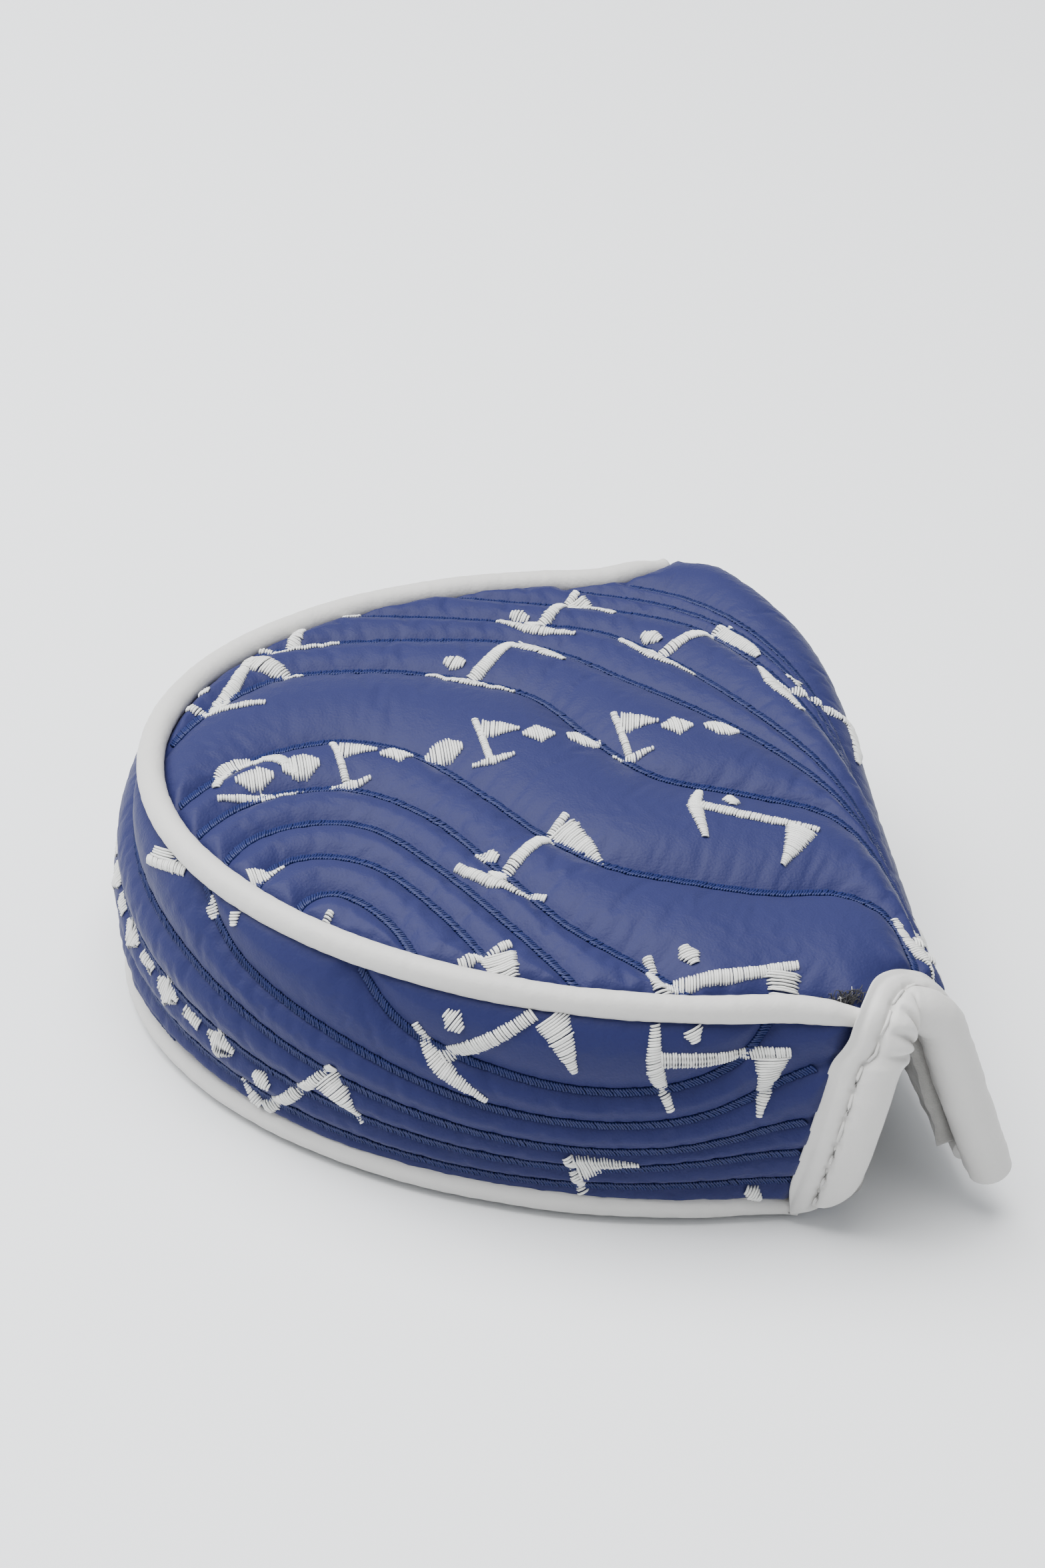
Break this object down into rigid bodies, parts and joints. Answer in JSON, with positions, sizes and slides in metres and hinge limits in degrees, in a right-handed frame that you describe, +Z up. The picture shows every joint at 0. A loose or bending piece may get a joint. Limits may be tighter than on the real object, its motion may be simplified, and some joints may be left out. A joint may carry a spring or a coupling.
{
  "type": "putter head cover",
  "caption": "Padded D-shaped mallet putter head cover with piped seams, a bound mouth, a shaft notch and a hinged magnetic closing flap.",
  "frame": {"origin": "on the flat underside of the crown-side panel, in the middle of the cover's plan", "axes": "+Z up out of the flat underside, +Y from heel to toe, +X from the rounded back to the open face side"},
  "size_m": [0.1161, 0.1315, 0.0405],
  "materials": {
    "blue_leather": "royal blue synthetic leather with a fine grain",
    "grey_leather": "light warm grey synthetic leather, satin",
    "plush_lining": "short-pile light grey plush",
    "padding_foam": "open-cell padding",
    "piping_cord": "twisted cotton cord",
    "magnet_steel": "nickel-plated disc magnet",
    "white_thread": "white satin-stitch embroidery thread",
    "blue_thread": "royal blue satin-stitch embroidery thread"
  },
  "bodies": {
    "pouch": {"top_panel": "blue_leather", "top_padding": "padding_foam", "top_lining": "plush_lining", "side_band": "blue_leather", "side_padding": "padding_foam", "side_lining": "plush_lining", "bottom_panel": "blue_leather", "bottom_padding": "padding_foam", "bottom_lining": "plush_lining", "top_piping_cover": "grey_leather", "top_piping_cord": "piping_cord", "bottom_piping_cover": "grey_leather", "bottom_piping_cord": "piping_cord", "heel_binding": "grey_leather", "toe_binding": "grey_leather", "lip_binding": "grey_leather", "lip_magnet": "magnet_steel"},
    "flap": {"flap_panel": "blue_leather", "flap_padding": "padding_foam", "flap_lining": "plush_lining", "flap_piping_cover": "grey_leather", "flap_piping_cord": "piping_cord", "flap_binding": "grey_leather", "flap_magnet": "magnet_steel"}
  },
  "joints": [
    {"name": "flap_hinge", "type": "hinge", "parent": "pouch", "child": "flap", "pos_m": [0.04, 0, 0.0408], "axis": [0, -1, 0], "range_deg": [0, 110]}
  ]
}
